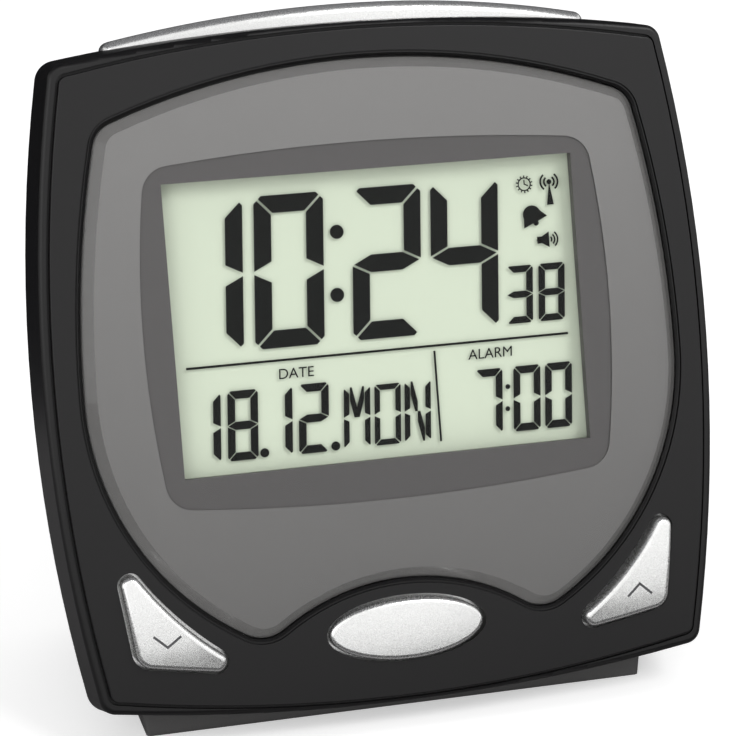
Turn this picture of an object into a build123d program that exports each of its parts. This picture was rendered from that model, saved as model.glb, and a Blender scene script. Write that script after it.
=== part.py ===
from build123d import *
import os
from math import cos, hypot, radians, sin, sqrt, tan

os.makedirs("parts", exist_ok=True)

# Driving dimensions, in millimetres and degrees
lean = 15.0                # the face leans back from upright

# Front frame: a cushion-shaped face on a slightly larger rounded rim
face_half_width = 43.0     # at the corners of the face
face_half_height = 43.45   # at the corners of the face
face_side_bow = 4.3        # the sides bow out this far between the corners
face_end_bow = 4.15        # top and bottom bow out this far between the corners
face_corner = 1.2
face_step = 0.7            # the face stands proud of the rim
face_edge = 0.25           # rounding of the face's edge
face_groove = 0.4          # dark groove between face and rim
groove_depth = 0.7
rim_side_margin = 1.25     # the rim stands out past the corners of the face
rim_end_margin = 1.6
rim_side_bow = 4.5
rim_end_bow = 3.45
rim_corner = 2.3
rim_round = 0.8            # rounding of the rim's front edge
rim_flare = 0.85           # the rim widens towards the back
frame_depth = 8.5
frame_wall = 2.2
plate = 2.8                # thickness of the front plate
boss_radius = 2.7
pilot_radius = 1.05        # hole that a screw cuts its thread in
pilot_depth = 5.0

# Lens, with a wide arch over the middle key
lens_border_top = 4.3      # frame left showing above the lens
lens_border_side = 4.1     # frame left showing beside the lens
lens_border_corner = 4.4   # frame left showing beside the lens's shoulders
lens_widest = -1.5         # height of the widest place, from the middle of the face
lens_top_radius = 104.0
lens_lower_rise = 7.6      # radius of the lower sides, less than the half height of the face
lens_corner = 4.0
lens_lobe = 5.0            # rounding of the two lowest places
arch_rise = 17.1           # top of the arch, from the bottom of the face
arch_radius = 32.0
lens_gap = 0.3
lens_ledge = 2.0           # ledge of the frame that carries the lens
lens_proud = 1.2
lens_thick = 2.6
lens_bevel = 1.45
pocket_chamfer = 0.35
pocket_groove = 0.25       # fine groove round the lens
pocket_groove_depth = 0.4
pocket_land = 0.45         # land between the lens and that groove
film = 0.3                 # room for the printed film behind the lens
film_gap = 0.05            # between lens and film

# Display
window_side = 13.0         # sides of the window, in from the corners of the face
window_drop = 15.65        # top of the window, below the corners of the face
window_rise = 29.8         # bottom of the window, above the corners of the face
mask_side = 2.3            # dark surround beside the window, at its corners
mask_top = 2.2
mask_bottom = 4.0
mask_side_bow = 2.0
mask_end_bow = 1.75
mask_corner = 4.0
holder_side = 4.7          # holder past the window
holder_top = 4.7
holder_bottom = 6.2
holder_corner = 3.5
holder_lip = 1.6
glass = 1.1
glass_margin = 3.2         # display glass hidden past the window
contact_ledge = 2.6        # front glass past the rear glass, above and below
glass_gap = 0.2
reflector = 0.3
light_inset = 2.2          # light guide inside the ends of the glass
lamp = 1.5
zebra_width = 2.0
zebra_length = 58.0

# Front keys
key_inset_x = 3.9          # outer corner of a corner key, in from the corner of the face
key_inset_y = 4.6
key_outer_angle = 7.6      # outer side, from upright
key_lower_angle = 9.9      # lower side, from level
key_land = 8.0             # radius of the long side past the lens's lower radius
key_land_shift = 5.1       # its centre, inward of the centre of the lens's lower arc
key_tip = 1.4
key_corner = 2.5
oval_half_width = 11.4
oval_half_height = 4.4
oval_drop = 7.3            # middle of the oval key below the top of the arch
key_gap = 0.4
key_proud = 1.9            # middle of a corner key, in front of the face
key_crown = 58.0           # radius of its domed front, highest along the long side
key_round = 0.8
oval_proud = 1.5
oval_crown = 46.0
oval_round = 0.8
key_flange = 1.0
flange_margin = 0.9
key_stem = 0.5
stem_radius = 2.2
stem_inset = 4.3           # stem of a corner key, in from its outer corner
stem_rise = 4.0
key_travel = 0.8

# Push switches
switch_side = 6.0
switch_corner = 0.4
switch_height = 3.3
switch_room = 0.9          # room left between stem and switch at full press
plunger_radius = 1.7
plunger_length = 2.9
plunger_gap = 0.15
bore_room = 0.4            # room left under a plunger at full press

# Talk bar: lens-shaped in plan, arched along its length
bar_half_length = 35.7
bar_front_end = 8.0        # depth of the front edge at the ends, behind the face
bar_front_middle = 3.4
bar_back_end = 12.5
bar_back_middle = 16.5
bar_corner = 1.9
bar_rise = 2.9             # top of the bar above the top of the rim
bar_arch_radius = 195.0
bar_wall = 1.6
bar_round = 1.4
bar_gap = 0.3
bar_travel = 1.2
hook_reach = 1.3
hook_length = 6.0
hook_thick = 1.0
hook_gap = 0.35
talk_spacing = 15.0        # push switches under the bar, from the middle
talk_switch_depth = 5.0
talk_switch_drop = 8.65    # top of these switches, below the corners of the face
talk_switch_tall = 4.3
rib_width = 4.0

# Circuit board
board = 1.6
board_inset = 4.2          # board inside the outline of the face
board_drop = 4.95          # top of the board, below the corners of the face
board_rise = 0.45          # bottom of the board, above the corners of the face
chip_x = 12.0              # bonded chips on the back of the board
chip_y = 14.0
small_chip_y = 6.0
chip_radius = 6.5
small_chip_radius = 5.0
chip_height = 1.8
chip_round = 1.4
crystal_x = 22.0
crystal_y = -6.0
crystal_radius = 1.5
crystal_length = 8.0
crystal_round = 0.4
screw_radius = 1.0
screw_head_radius = 1.8
screw_head = 1.3
screw_gap = 0.2
pilot_room = 0.5           # pilot hole left free past the end of a screw
upper_screw_inset = 8.5    # screws, in from the corners of the face
upper_screw_drop = 7.95
lower_screw_inset = 24.5
lower_screw_rise = 3.95

# Foot and rear housing
foot_height = 4.4
foot_depth = 42.0
foot_half_width = 37.3     # at the table
foot_flare = 9.7           # the ends of the foot widen upwards
foot_corner = 0.7
foot_drop = 3.0            # table below the bottom of the face, along the leaning face
foot_gap = 0.3             # between frame and foot
foot_screw_x = 26.0
foot_screw_y = -9.0
foot_screw_boss = 7.0
foot_recess = 1.9
housing_inset = 1.2        # rear housing inside the rim
housing_taper = 12.0
housing_reach = 60.0       # length of the tapered form before its rear is cut upright
housing_corner = 4.0
housing_wall = 2.0
housing_round = 3.0
lip_length = 2.4
lip_root = 1.5             # the lip starts this far inside the shell
lip_wall = 1.2
lip_gap = 0.15
post_radius = 2.6
screw_seat = 5.0           # depth of plastic under the head of a case screw

# Batteries and their bay
cell_radius = 7.25
cell_length = 50.5
cell_nub_radius = 2.75
cell_nub = 1.3
cell_gap = 0.6
cell_edge = 0.5
contact_room = 2.6
contact_strip = 0.5
contact_width = 7.0
contact_height = 10.0
spring_share = 0.4         # dimple of a contact, as a share of its width
spring_tip_share = 0.2
bay_wall = 1.5
bay_floor_rise = 3.8       # bay above the top of the foot
door_thick = 2.0
door_gap = 0.25
door_ledge = 1.2
door_corner = 2.0
door_travel_room = 0.4     # room between cells and door
tongue_width = 9.0
tongue_length = 4.0
tongue_thick = 1.0
grip_ribs = 4
grip_pitch = 2.2
grip_depth = 0.4
finger_width = 14.0
finger_height = 5.0
finger_depth = 1.0

# Loudspeaker
collar_room = 3.3          # room above and below the loudspeaker's collar
speaker_flange = 1.6
speaker_depth = 12.0
magnet_share = 0.53        # magnet and cone, as shares of the loudspeaker's radius
cone_share = 0.825
magnet_height = 4.5
cone_wall = 0.4
cone_depth = 4.6
cone_front = 0.7
cone_edge = 1.0            # outer edge of the cone behind the wall
cone_roll = 2.0            # width of the rolled surround
cap_depth = 3.4
cap_share = 0.55
coil_radius = 4.0
basket_wall = 0.8
speaker_gap = 0.3
collar_width = 2.6
ring_thick = 1.2
ring_gap = 0.2
magnet_round = 0.6
speaker_pilot = 0.6
speaker_screw_head = 1.2
grille_margin = 3.4        # slots end inside the loudspeaker's rim
grille_slot = 1.7
grille_pitch = 3.4

# Aerial
rod_radius = 4.0
rod_length = 50.0
coil_wall = 1.0
coil_length = 22.0
rod_gap = 0.15
saddle_spacing = 19.0
saddle_width = 3.0
rod_depth = 15.5           # rod in front of the rear wall
saddle_wall = 1.5
saddle_grip = 1.0
rod_lift = 0.5             # coil above the roof of the battery bay

# Rear controls, on one column beside the loudspeaker
control_gap = 1.9          # slider clear of the loudspeaker's collar
control_pitch = 7.6
control_width = 9.0
control_key_radius = 2.5
control_proud = 0.6
control_post_radius = 2.2
control_corner = 1.0
control_flange = 0.6       # flange past the hole of a rear key
control_round = 0.5
slider_width = 3.0
slider_height = 2.0
slider_leg = 1.6
slider_reach = 1.2         # leg of the slider, into its switch
slider_travel = 4.0
slider_base = 7.4
slider_base_height = 4.0
slider_gap = 0.3
slide_can_width = 9.0
slide_can_height = 4.6

# Places that follow from the dimensions
tilt = radians(lean)
face_top = face_half_height + face_end_bow
foot_front_v = -(face_top + foot_drop)
foot_front_w = -(frame_depth + foot_gap)
face_y = -foot_depth / 2 - foot_front_v * sin(tilt) + foot_front_w * cos(tilt)
face_z = -foot_front_v * cos(tilt) - foot_front_w * sin(tilt)
face = Plane(origin=(0, face_y, face_z), x_dir=(1, 0, 0), z_dir=(0, -cos(tilt), sin(tilt)))
outward = Axis((0, 0, 0), (0, -cos(tilt), sin(tilt)))
upward = Axis((0, 0, 0), (0, sin(tilt), cos(tilt)))
rear_y = foot_depth / 2
rear = Plane(origin=(0, rear_y, 0), x_dir=(-1, 0, 0), z_dir=(0, 1, 0))
rear_inside = rear.offset(-housing_wall)

lens_back = lens_proud - lens_thick
seat = lens_back - film
window_half_width = face_half_width - window_side
window_top = face_half_height - window_drop
window_bottom = window_rise - face_half_height
lens_top = face_top - lens_border_top
lens_half_width = face_half_width + face_side_bow - lens_border_side
lens_shoulder = face_half_width - lens_border_corner
lens_lower_radius = face_top - lens_lower_rise
lens_lower_centre = lens_half_width - lens_lower_radius
arch_top = arch_rise - face_top
glass_front = seat - holder_lip
glass_middle = glass_front - glass
glass_back = glass_middle - glass
light_front = glass_back - reflector
stem_end = -(plate + key_flange + key_stem)
can_top = stem_end - key_travel - switch_room
board_front = can_top - switch_height
board_back = board_front - board
window_middle = (window_top + window_bottom) / 2
board_top = face_half_height - board_drop
board_bottom = board_rise - face_half_height
talk_switch_top = face_half_height - talk_switch_drop
window_height = window_top - window_bottom
oval_at = (0, arch_top - oval_drop)


# The meeting point, with the greater x, of two circles that cross
def circles_meet(centre_a, radius_a, centre_b, radius_b):
    across = centre_b[0] - centre_a[0]
    along = centre_b[1] - centre_a[1]
    apart = hypot(across, along)
    reach = (radius_a**2 - radius_b**2 + apart**2) / (2 * apart)
    half_chord = sqrt(radius_a**2 - reach**2)
    foot_x = centre_a[0] + reach * across / apart
    foot_y = centre_a[1] + reach * along / apart
    step = half_chord / apart
    meetings = (
        (foot_x - along * step, foot_y + across * step),
        (foot_x + along * step, foot_y - across * step),
    )
    return max(meetings)


# The first place where a straight line from a point outside runs into a circle from its far side
def line_meets_circle(point, direction, centre, radius):
    from_centre = (point[0] - centre[0], point[1] - centre[1])
    half = from_centre[0] * direction[0] + from_centre[1] * direction[1]
    gap = from_centre[0]**2 + from_centre[1]**2 - radius**2
    run = -half - sqrt(half**2 - gap)
    return (point[0] + run * direction[0], point[1] + run * direction[1])


# A box with four bowed sides and rounded corners
def bowed_box(half_width, bottom, top, side_bow, end_bow, corner):
    middle = (top + bottom) / 2
    with BuildSketch() as shape:
        with BuildLine():
            ThreePointArc((-half_width, bottom), (0, bottom - end_bow), (half_width, bottom))
            ThreePointArc((half_width, bottom), (half_width + side_bow, middle), (half_width, top))
            ThreePointArc((half_width, top), (0, top + end_bow), (-half_width, top))
            ThreePointArc((-half_width, top), (-half_width - side_bow, middle), (-half_width, bottom))
        make_face()
        fillet(shape.vertices(), corner)
    return shape.sketch


# An outline moved outwards, or inwards where the amount is negative
def grown(outline, amount):
    with BuildSketch() as shape:
        add(outline)
        offset(amount=amount)
    return shape.sketch


# The lens: arched top, bowed sides that turn in below, and an arch between two lobes
def lens_shape(grow):
    top_centre = (0, lens_top - lens_top_radius)
    shoulder_y = top_centre[1] + sqrt(lens_top_radius**2 - lens_shoulder**2)
    turn_in = lens_half_width - lens_shoulder
    upper_radius = (turn_in**2 + (shoulder_y - lens_widest)**2) / (2 * turn_in)
    upper_centre = (lens_half_width - upper_radius, lens_widest)
    lower_centre = (lens_lower_centre, lens_widest)
    arch_centre = (0, arch_top - arch_radius)
    shoulder = circles_meet(top_centre, lens_top_radius + grow, upper_centre, upper_radius + grow)
    lobe = circles_meet(lower_centre, lens_lower_radius + grow, arch_centre, arch_radius - grow)
    with BuildSketch() as shape:
        with BuildLine():
            ThreePointArc((-shoulder[0], shoulder[1]), (0, lens_top + grow), shoulder)
            for side in (-1, 1):
                widest = (side * (lens_half_width + grow), lens_widest)
                TangentArc(widest, (side * shoulder[0], shoulder[1]), tangent=(0, 1))
                TangentArc(widest, (side * lobe[0], lobe[1]), tangent=(0, -1))
            ThreePointArc((-lobe[0], lobe[1]), (0, arch_top - grow), lobe)
        make_face()
        fillet(shape.vertices().group_by(Axis.Y)[0], lens_lobe + grow)
        fillet(shape.vertices().group_by(Axis.Y)[-1], lens_corner + grow)
    return shape.sketch


# The oval key's outline
def oval_shape(grow):
    with BuildSketch() as shape:
        with Locations(oval_at):
            Ellipse(oval_half_width + grow, oval_half_height + grow)
    return shape.sketch


# Corner, two tips and the middle of the long side of the right corner key
def corner_key_points():
    corner = (face_half_width - key_inset_x, key_inset_y - face_half_height)
    centre = (lens_lower_centre - key_land_shift, 0)
    radius = lens_lower_radius + key_land
    rise = (sin(radians(key_outer_angle)), cos(radians(key_outer_angle)))
    run = (-cos(radians(key_lower_angle)), -sin(radians(key_lower_angle)))
    upper = line_meets_circle(corner, rise, centre, radius)
    inner = line_meets_circle(corner, run, centre, radius)
    bulge = hypot((upper[0] + inner[0]) / 2 - centre[0], (upper[1] + inner[1]) / 2 - centre[1])
    long_middle = (
        centre[0] + ((upper[0] + inner[0]) / 2 - centre[0]) * radius / bulge,
        centre[1] + ((upper[1] + inner[1]) / 2 - centre[1]) * radius / bulge,
    )
    return corner, upper, inner, long_middle


# A corner key: two straight outer sides and a long side that follows the lens
def corner_key_shape(side):
    corner, upper, inner, long_middle = corner_key_points()
    with BuildSketch() as shape:
        with BuildLine():
            Line((side * corner[0], corner[1]), (side * upper[0], upper[1]))
            Line((side * corner[0], corner[1]), (side * inner[0], inner[1]))
            ThreePointArc(
                (side * upper[0], upper[1]),
                (side * long_middle[0], long_middle[1]),
                (side * inner[0], inner[1]),
            )
        make_face()
        fillet(shape.vertices().sort_by_distance((side * corner[0], corner[1]))[0], key_corner)
        fillet(shape.vertices().sort_by_distance((side * upper[0], upper[1]))[0], key_tip)
        fillet(shape.vertices().sort_by_distance((side * inner[0], inner[1]))[0], key_tip)
    return shape.sketch


# The talk bar seen from above: sketch x along the clock, sketch y the depth behind the face
def bar_shape():
    with BuildSketch() as shape:
        with BuildLine():
            ThreePointArc(
                (-bar_half_length, bar_front_end), (0, bar_front_middle), (bar_half_length, bar_front_end)
            )
            Line((bar_half_length, bar_front_end), (bar_half_length, bar_back_end))
            ThreePointArc(
                (bar_half_length, bar_back_end), (0, bar_back_middle), (-bar_half_length, bar_back_end)
            )
            Line((-bar_half_length, bar_back_end), (-bar_half_length, bar_front_end))
        make_face()
        fillet(shape.vertices(), bar_corner)
    return shape.sketch


# Outlines that several pieces share
face_outline = bowed_box(
    face_half_width, -face_half_height, face_half_height, face_side_bow, face_end_bow, face_corner
)
rim_outline = bowed_box(
    face_half_width + rim_side_margin,
    -face_half_height - rim_end_margin,
    face_half_height + rim_end_margin,
    rim_side_bow,
    rim_end_bow,
    rim_corner,
)
mask_outline = bowed_box(
    window_half_width + mask_side,
    window_bottom - mask_bottom,
    window_top + mask_top,
    mask_side_bow,
    mask_end_bow,
    mask_corner,
)
lens_outline = lens_shape(0)
down_outline = corner_key_shape(-1)
up_outline = corner_key_shape(1)
oval_outline = oval_shape(0)
bar_outline = bar_shape()
foot_screw_places = [(-foot_screw_x, foot_screw_y), (foot_screw_x, foot_screw_y)]
key_middle_x = face_half_width - key_inset_x - stem_inset
key_middle_y = key_inset_y - face_half_height + stem_rise
down_at = (-key_middle_x, key_middle_y)
up_at = (key_middle_x, key_middle_y)
upper_screw_x = face_half_width - upper_screw_inset
upper_screw_y = face_half_height - upper_screw_drop
lower_screw_x = face_half_width - lower_screw_inset
lower_screw_y = lower_screw_rise - face_half_height
upper_screws = [(-upper_screw_x, upper_screw_y), (upper_screw_x, upper_screw_y)]
lower_screws = [(-lower_screw_x, lower_screw_y), (lower_screw_x, lower_screw_y)]

# Heights of the talk bar, above the middle of the face
rim_top = face_half_height + rim_end_margin + rim_end_bow
bar_top = rim_top + bar_rise
housing_back_depth = frame_depth + housing_reach
housing_half_width = face_half_width + rim_side_margin - housing_inset
housing_half_height = face_half_height + rim_end_margin - housing_inset
housing_shrink = (housing_back_depth - frame_depth) * tan(radians(housing_taper))
hook_x = bar_half_length + hook_reach
hook_back = bar_back_end + hook_reach
housing_end_radius = (housing_half_width**2 + face_end_bow**2) / (2 * face_end_bow)
housing_top_at_hook = housing_half_height + face_end_bow - hook_x**2 / (2 * housing_end_radius)
hook_taper = (hook_back - frame_depth) * tan(radians(housing_taper))
housing_ceiling = housing_top_at_hook - housing_wall - hook_taper
hook_top = housing_ceiling - hook_gap
hook_bottom = hook_top - hook_thick
rib_end = talk_switch_top + bar_travel + switch_room
rib_depth = -board_back + talk_switch_depth / 2


# A plane across the leaning face's upward direction: sketch y is the depth behind the face
def across(height):
    origin = face.from_local_coords((0, height, 0))
    return Plane(origin=origin, x_dir=(1, 0, 0), z_dir=(0, sin(tilt), cos(tilt)))


# Round-headed screws: heads stand out from the plane, shanks go in
def screws(plane, places, length):
    with BuildPart() as group:
        with BuildSketch(plane):
            with Locations(*places):
                Circle(screw_head_radius)
        extrude(amount=screw_head)
        fillet(group.edges().group_by(plane_axis(plane))[-1], screw_head / 2)
        with BuildSketch(plane):
            with Locations(*places):
                Circle(screw_radius)
        extrude(amount=-length)
    return group.part


# The axis that points out of a plane
def plane_axis(plane):
    return Axis(plane.origin, plane.z_dir)


# Square switch cans on a plane, each bored for its plunger
def switch_cans(plane, places, tall, bore):
    with BuildPart() as group:
        with BuildSketch(plane):
            with Locations(*places):
                RectangleRounded(switch_side, switch_side, switch_corner)
        extrude(amount=tall)
        with BuildSketch(plane.offset(tall)):
            with Locations(*places):
                Circle(plunger_radius + plunger_gap)
        extrude(amount=-bore, mode=Mode.SUBTRACT)
    return group.part


# Round plungers that hang from a plane into their cans
def plungers(plane, places):
    with BuildPart() as group:
        with BuildSketch(plane):
            with Locations(*places):
                Circle(plunger_radius)
        extrude(amount=-plunger_length)
    return group.part


# A front key: cap through the plate, flange behind it, stem on its switch
def front_key(outline, flange, stem_at, crown_at, proud, crown, rounding):
    with BuildPart() as key:
        with BuildSketch(face.offset(-plate)):
            add(outline)
        extrude(amount=plate + proud)
        with Locations(face.from_local_coords((crown_at[0], crown_at[1], proud - crown))):
            Sphere(crown, mode=Mode.INTERSECT)
        fillet(key.faces().filter_by(GeomType.SPHERE).edges(), rounding)
        with BuildSketch(face.offset(-plate)):
            add(flange)
        extrude(amount=-key_flange)
        with BuildSketch(face.offset(-plate - key_flange)):
            with Locations(stem_at):
                Circle(stem_radius)
        extrude(amount=-key_stem)
    return key.part


pieces = {}
bore_depth = plunger_length - (key_travel + switch_room) + key_travel + bore_room

# Front frame
with BuildPart() as front_frame:
    with BuildSketch(face.offset(-frame_depth)):
        add(grown(rim_outline, rim_flare))
    with BuildSketch(face.offset(-face_step)):
        add(rim_outline)
    loft(ruled=True)
    fillet(front_frame.edges().group_by(outward)[-1], rim_round)
    with BuildSketch(face.offset(-face_step)):
        add(face_outline)
    extrude(amount=face_step)
    fillet(front_frame.edges().group_by(outward)[-1], face_edge)
    with BuildSketch(face.offset(-face_step - groove_depth)):
        add(grown(face_outline, face_groove))
        add(face_outline, mode=Mode.SUBTRACT)
    extrude(amount=groove_depth + face_step, mode=Mode.SUBTRACT)
    with BuildSketch(face.offset(-frame_depth)):
        add(grown(rim_outline, -frame_wall))
    extrude(amount=frame_depth - plate, mode=Mode.SUBTRACT)
    with BuildSketch(face.offset(board_front)):
        with Locations(*upper_screws, *lower_screws):
            Circle(boss_radius)
    extrude(amount=-board_front - plate)
    with BuildSketch(face.offset(board_front)):
        with Locations(*upper_screws, *lower_screws):
            Circle(pilot_radius)
    extrude(amount=pilot_depth, mode=Mode.SUBTRACT)
    with BuildSketch(face.offset(seat)):
        add(lens_shape(lens_gap))
    extrude(amount=-seat, mode=Mode.SUBTRACT)
    with BuildSketch(face.offset(-pocket_chamfer)):
        add(lens_shape(lens_gap))
    with BuildSketch(face):
        add(lens_shape(lens_gap + pocket_chamfer))
    loft(ruled=True, mode=Mode.SUBTRACT)
    with BuildSketch(face.offset(-pocket_groove_depth)):
        add(lens_shape(lens_gap + pocket_land + pocket_groove))
        add(lens_shape(lens_gap + pocket_land), mode=Mode.SUBTRACT)
    extrude(amount=pocket_groove_depth, mode=Mode.SUBTRACT)
    with BuildSketch(face.offset(-plate)):
        add(lens_shape(-lens_ledge))
    extrude(amount=plate, mode=Mode.SUBTRACT)
    with BuildSketch(face.offset(-plate)):
        add(grown(down_outline, key_gap))
        add(grown(up_outline, key_gap))
        add(oval_shape(key_gap))
    extrude(amount=plate, mode=Mode.SUBTRACT)
    with BuildSketch(across(hook_bottom)):
        add(grown(bar_outline, bar_gap))
    extrude(amount=bar_top, mode=Mode.SUBTRACT)
pieces["front_frame"] = front_frame.part

# Lens with its bevelled edge
with BuildPart() as display_lens:
    with BuildSketch(face.offset(lens_back)):
        add(lens_outline)
    extrude(amount=lens_thick - lens_bevel)
    with BuildSketch(face.offset(lens_proud - lens_bevel)):
        add(lens_outline)
    with BuildSketch(face.offset(lens_proud)):
        add(lens_shape(-lens_bevel))
    loft(ruled=True)
pieces["display_lens"] = display_lens.part

# Printed film with the window's opening
with BuildPart() as face_panel:
    with BuildSketch(face.offset(seat)):
        add(lens_outline)
        add(mask_outline, mode=Mode.SUBTRACT)
    extrude(amount=film - film_gap)
pieces["face_panel"] = face_panel.part

# Holder: a lip round the window in front, a box for the display behind
glass_half_width = window_half_width + glass_margin
glass_half_height = window_height / 2 + glass_margin
holder_half_width = window_half_width + holder_side
holder_height = window_height + holder_top + holder_bottom
holder_middle = window_middle + (holder_top - holder_bottom) / 2
with BuildPart() as lcd_holder:
    with BuildSketch(face.offset(board_front)):
        with Locations((0, holder_middle)):
            RectangleRounded(2 * holder_half_width, holder_height, holder_corner)
    extrude(amount=seat - board_front)
    with BuildSketch(face.offset(board_front)):
        with Locations((0, window_middle)):
            Rectangle(2 * (glass_half_width + glass_gap), 2 * (glass_half_height + glass_gap))
    extrude(amount=glass_front - board_front, mode=Mode.SUBTRACT)
    with BuildSketch(face.offset(board_front)):
        with Locations((0, window_middle)):
            Rectangle(2 * window_half_width, window_height)
    extrude(amount=seat - board_front, mode=Mode.SUBTRACT)
pieces["lcd_holder"] = lcd_holder.part


# A flat sheet of the display, centred on the window
def display_sheet(front, thick, half_width, half_height):
    with BuildPart() as sheet:
        with BuildSketch(face.offset(front)):
            with Locations((0, window_middle)):
                Rectangle(2 * half_width, 2 * half_height)
        extrude(amount=-thick)
    return sheet.part


rear_glass_half = glass_half_height - contact_ledge
pieces["lcd_front_glass"] = display_sheet(glass_front, glass, glass_half_width, glass_half_height)
pieces["lcd_rear_glass"] = display_sheet(glass_middle, glass, glass_half_width, rear_glass_half)
pieces["lcd_reflector"] = display_sheet(glass_back, reflector, glass_half_width, rear_glass_half)
light_half_width = glass_half_width - light_inset
light_depth = light_front - board_front
pieces["light_guide"] = display_sheet(light_front, light_depth, light_half_width, rear_glass_half)

# Lamps at both ends of the light guide
lamp_x = light_half_width + glass_gap + lamp / 2
with BuildPart() as backlight_leds:
    with BuildSketch(face.offset(board_front)):
        with Locations((-lamp_x, window_middle), (lamp_x, window_middle)):
            Rectangle(lamp, 2 * lamp)
    extrude(amount=lamp)
pieces["backlight_leds"] = backlight_leds.part

# Rubber contact strips between the glass and the board
zebra_y = glass_half_height - contact_ledge / 2
with BuildPart() as zebra_strips:
    with BuildSketch(face.offset(board_front)):
        with Locations((0, window_middle - zebra_y), (0, window_middle + zebra_y)):
            Rectangle(zebra_length, zebra_width)
    extrude(amount=glass_middle - board_front)
pieces["zebra_strips"] = zebra_strips.part

# Main board, cut to the case
with BuildPart() as main_board:
    with BuildSketch(face.offset(board_back)):
        add(grown(face_outline, -board_inset))
        with Locations((0, board_top + face_top)):
            Rectangle(2 * face_top, 2 * face_top, mode=Mode.SUBTRACT)
        with Locations((0, board_bottom - face_top)):
            Rectangle(2 * face_top, 2 * face_top, mode=Mode.SUBTRACT)
        with Locations(*upper_screws, *lower_screws):
            Circle(pilot_radius + screw_gap, mode=Mode.SUBTRACT)
    extrude(amount=board)
pieces["main_board"] = main_board.part

# Bonded chips under their domes, on the back of the board
with BuildPart() as chip_blobs:
    with BuildSketch(face.offset(board_back)):
        with Locations((-chip_x, chip_y)):
            Circle(chip_radius)
        with Locations((chip_x, small_chip_y)):
            Circle(small_chip_radius)
    extrude(amount=-chip_height)
    fillet(chip_blobs.edges().group_by(outward)[0], chip_round)
pieces["chip_blobs"] = chip_blobs.part

# Crystal in its can, lying on the back of the board
crystal_place = face.from_local_coords((crystal_x, crystal_y, board_back - crystal_radius))
with BuildPart() as quartz_crystal:
    with BuildSketch(Plane(origin=crystal_place, x_dir=(0, sin(tilt), cos(tilt)), z_dir=(1, 0, 0))):
        Circle(crystal_radius)
    extrude(amount=crystal_length)
    fillet(quartz_crystal.edges().group_by(Axis.X)[-1], crystal_round)
pieces["quartz_crystal"] = quartz_crystal.part

# Front keys, their switches and plungers
front_places = [down_at, oval_at, up_at]
board_plane = face.offset(board_front)
pieces["front_switch_cans"] = switch_cans(board_plane, front_places, switch_height, bore_depth)
down_flange = grown(down_outline, flange_margin)
oval_flange = oval_shape(flange_margin)
long_middle = corner_key_points()[3]
down_crown_at = (-long_middle[0], long_middle[1])
pieces["down_key"] = front_key(
    down_outline, down_flange, down_at, down_crown_at, key_proud, key_crown, key_round
)
pieces["alarm_set_key"] = front_key(
    oval_outline, oval_flange, oval_at, oval_at, oval_proud, oval_crown, oval_round
)
with BuildPart() as up_key:
    mirror(pieces["down_key"], about=Plane.YZ)
pieces["up_key"] = up_key.part
pieces["down_plunger"] = plungers(face.offset(stem_end), [down_at])
pieces["alarm_set_plunger"] = plungers(face.offset(stem_end), [oval_at])
pieces["up_plunger"] = plungers(face.offset(stem_end), [up_at])

# Talk bar: a hollow arched shell with two end hooks and two ribs
with BuildPart() as bar_hollow:
    with BuildSketch(across(hook_bottom)):
        add(grown(bar_outline, -bar_wall))
    extrude(amount=bar_top - hook_bottom)
    with BuildSketch(face.offset(-2 * bar_back_middle)):
        with Locations((0, bar_top - bar_arch_radius)):
            Circle(bar_arch_radius - bar_wall)
    extrude(amount=2 * bar_back_middle, mode=Mode.INTERSECT)
with BuildPart() as talk_bar:
    with BuildSketch(across(hook_bottom)):
        add(bar_outline)
    extrude(amount=bar_top - hook_bottom)
    with BuildSketch(face.offset(-2 * bar_back_middle)):
        with Locations((0, bar_top - bar_arch_radius)):
            Circle(bar_arch_radius)
    extrude(amount=2 * bar_back_middle, mode=Mode.INTERSECT)
    fillet(talk_bar.faces().sort_by(upward)[-1].edges(), bar_round)
    add(bar_hollow.part, mode=Mode.SUBTRACT)
    with BuildSketch(across(hook_bottom)):
        for side in (-1, 1):
            with Locations((side * (hook_x - hook_length / 2), (bar_front_end + bar_back_end) / 2)):
                Rectangle(hook_length, bar_back_end - bar_front_end)
    extrude(amount=hook_thick)
    with BuildSketch(across(rib_end)):
        with Locations((-talk_spacing, rib_depth), (talk_spacing, rib_depth)):
            Rectangle(rib_width, rib_width)
    extrude(amount=bar_top - bar_wall - bar_rise / 2 - rib_end)
pieces["talk_bar"] = talk_bar.part

# Right-angle switches on the back of the board, under the ribs of the bar
talk_places = [(-talk_spacing, rib_depth), (talk_spacing, rib_depth)]
talk_bore = talk_switch_top - (rib_end - plunger_length) + bar_travel + bore_room
with BuildPart() as talk_switch_cans:
    with BuildSketch(across(talk_switch_top)):
        with Locations(*talk_places):
            Rectangle(switch_side, talk_switch_depth)
    extrude(amount=-talk_switch_tall)
    with BuildSketch(across(talk_switch_top)):
        with Locations(*talk_places):
            Circle(plunger_radius + plunger_gap)
    extrude(amount=-talk_bore, mode=Mode.SUBTRACT)
pieces["talk_switch_cans"] = talk_switch_cans.part
pieces["talk_plungers"] = plungers(across(rib_end), talk_places)

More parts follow.
